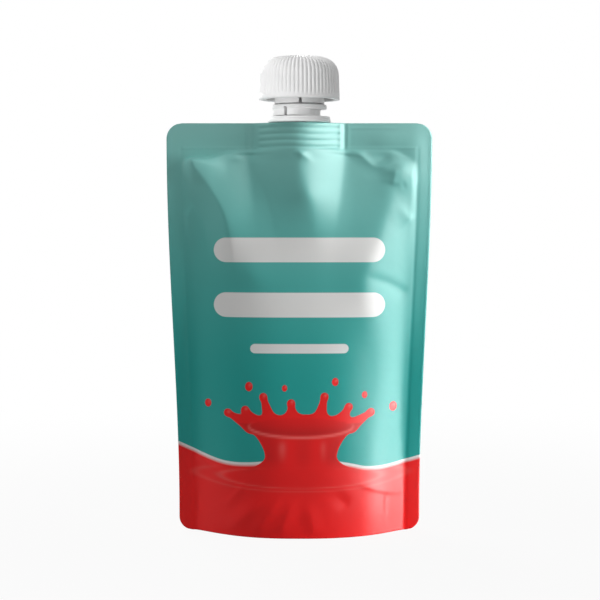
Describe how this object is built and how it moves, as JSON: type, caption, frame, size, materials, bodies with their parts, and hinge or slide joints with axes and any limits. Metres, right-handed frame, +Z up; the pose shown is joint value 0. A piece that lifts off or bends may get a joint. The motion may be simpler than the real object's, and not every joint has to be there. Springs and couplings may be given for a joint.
{
  "type": "spouted stand-up pouch",
  "caption": "Filled stand-up film pouch with flat heat seals, an open base fold, a welded spout with a tamper band and a wide ribbed screw cap that unscrews.",
  "frame": {"origin": "middle of the base, on the surface the pouch stands on", "axes": "+Z up to the cap, +X across the panel to the viewer's right, front panel towards -Y"},
  "size_m": [0.109, 0.0404, 0.1951],
  "materials": {
    "printed_film": "satin printed laminate film",
    "spout_plastic": "moulded white polyethylene",
    "cap_plastic": "moulded white polyethylene, fine satin",
    "liner_foam": "foamed polyethylene"
  },
  "bodies": {
    "pack": {"pouch": "printed_film", "spout": "spout_plastic", "tamper_band": "spout_plastic"},
    "liner": {"cap_liner": "liner_foam"},
    "screw_cap": {"cap": "cap_plastic"}
  },
  "joints": [
    {"name": "cap_lift", "type": "slide", "parent": "pack", "child": "liner", "axis": [0, 0, 1], "range_m": [0, 0.00605]},
    {"name": "cap_turn", "type": "hinge", "parent": "liner", "child": "screw_cap", "pos_m": [0, 0, 0.185], "axis": [0, 0, 1], "range_deg": [0, 540]}
  ],
  "couplings": [
    {"joint": "cap_lift", "follows": "cap_turn", "m_per_rad": 0.00063662}
  ]
}
